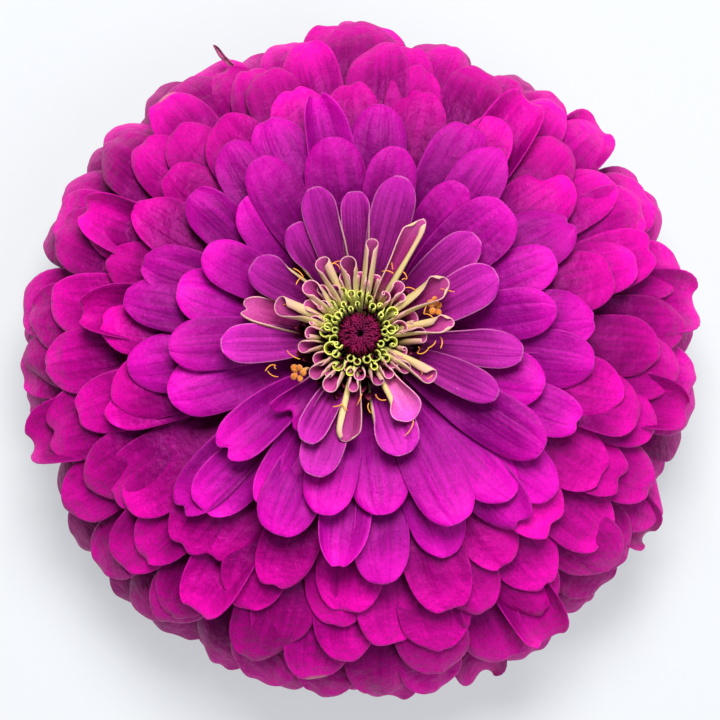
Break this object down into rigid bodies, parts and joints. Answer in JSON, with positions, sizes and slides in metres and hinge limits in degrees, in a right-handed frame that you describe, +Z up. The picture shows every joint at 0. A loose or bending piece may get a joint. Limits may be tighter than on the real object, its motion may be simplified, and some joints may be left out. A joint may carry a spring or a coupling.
{
  "type": "zinnia flower",
  "caption": "Fully double zinnia flower head, a dome of overlapping magenta ray florets round a small green and crimson centre, lying face up with its stalk cut short.",
  "frame": {"origin": "on the surface that the head rests on, under the middle of the head, at the centre of the cut stalk's flat end", "axes": "+Z up along the flower's own axis, from the cut stalk to the face of the head; +Y towards the top of the face as it is usually seen, +X to its right"},
  "size_m": [0.1104, 0.1104, 0.0509],
  "materials": {
    "magenta_ray": "velvety matte magenta petal",
    "violet_ray": "velvety matte violet-magenta petal, paler at the claw",
    "rolled_ray": "matte cream-green and pink, half-rolled young petal",
    "green_quill": "matte lime-green young quill with a pale rim",
    "crimson_chaff": "dark crimson papery fringe",
    "orange_star": "fuzzy orange-yellow corolla",
    "green_bract": "smooth green bract with a dark, thin edge",
    "green_stalk": "hairy green stalk, pale where it is cut"
  },
  "bodies": {
    "root": {"stalk_and_receptacle": "green_stalk", "involucre": "green_bract", "ray_whorl_1": "magenta_ray", "ray_whorl_2": "magenta_ray", "ray_whorl_3": "magenta_ray", "ray_whorl_4": "magenta_ray", "ray_whorl_5": "magenta_ray", "ray_whorl_6": "magenta_ray", "ray_whorl_7": "magenta_ray", "ray_whorl_8": "magenta_ray", "middle_ray_01": "violet_ray", "middle_ray_02": "violet_ray", "middle_ray_03": "violet_ray", "middle_ray_04": "violet_ray", "middle_ray_05": "violet_ray", "middle_ray_06": "violet_ray", "middle_ray_07": "violet_ray", "middle_ray_08": "violet_ray", "middle_ray_09": "violet_ray", "middle_ray_10": "violet_ray", "middle_ray_11": "violet_ray", "middle_ray_12": "violet_ray", "middle_ray_13": "violet_ray", "middle_ray_14": "violet_ray", "middle_ray_15": "violet_ray", "middle_ray_16": "violet_ray", "middle_ray_17": "violet_ray", "middle_ray_18": "violet_ray", "middle_ray_19": "violet_ray", "middle_ray_20": "violet_ray", "inner_ray_01": "violet_ray", "inner_ray_02": "violet_ray", "inner_ray_03": "violet_ray", "inner_ray_04": "violet_ray", "inner_ray_05": "violet_ray", "inner_ray_06": "violet_ray", "inner_ray_07": "violet_ray", "inner_ray_08": "violet_ray", "inner_ray_09": "violet_ray", "inner_ray_10": "violet_ray", "inner_ray_11": "violet_ray", "inner_ray_12": "violet_ray", "inner_ray_13": "violet_ray", "inner_ray_14": "violet_ray", "rolled_floret_01": "rolled_ray", "rolled_floret_02": "rolled_ray", "rolled_floret_03": "rolled_ray", "rolled_floret_04": "rolled_ray", "rolled_floret_05": "rolled_ray", "rolled_floret_06": "rolled_ray", "rolled_floret_07": "rolled_ray", "rolled_floret_08": "rolled_ray", "rolled_floret_09": "rolled_ray", "rolled_floret_10": "rolled_ray", "rolled_floret_11": "rolled_ray", "rolled_floret_12": "rolled_ray", "quill_crown": "green_quill", "chaff_cone": "crimson_chaff", "disc_floret_1": "orange_star", "disc_floret_2": "orange_star"}
  },
  "joints": []
}
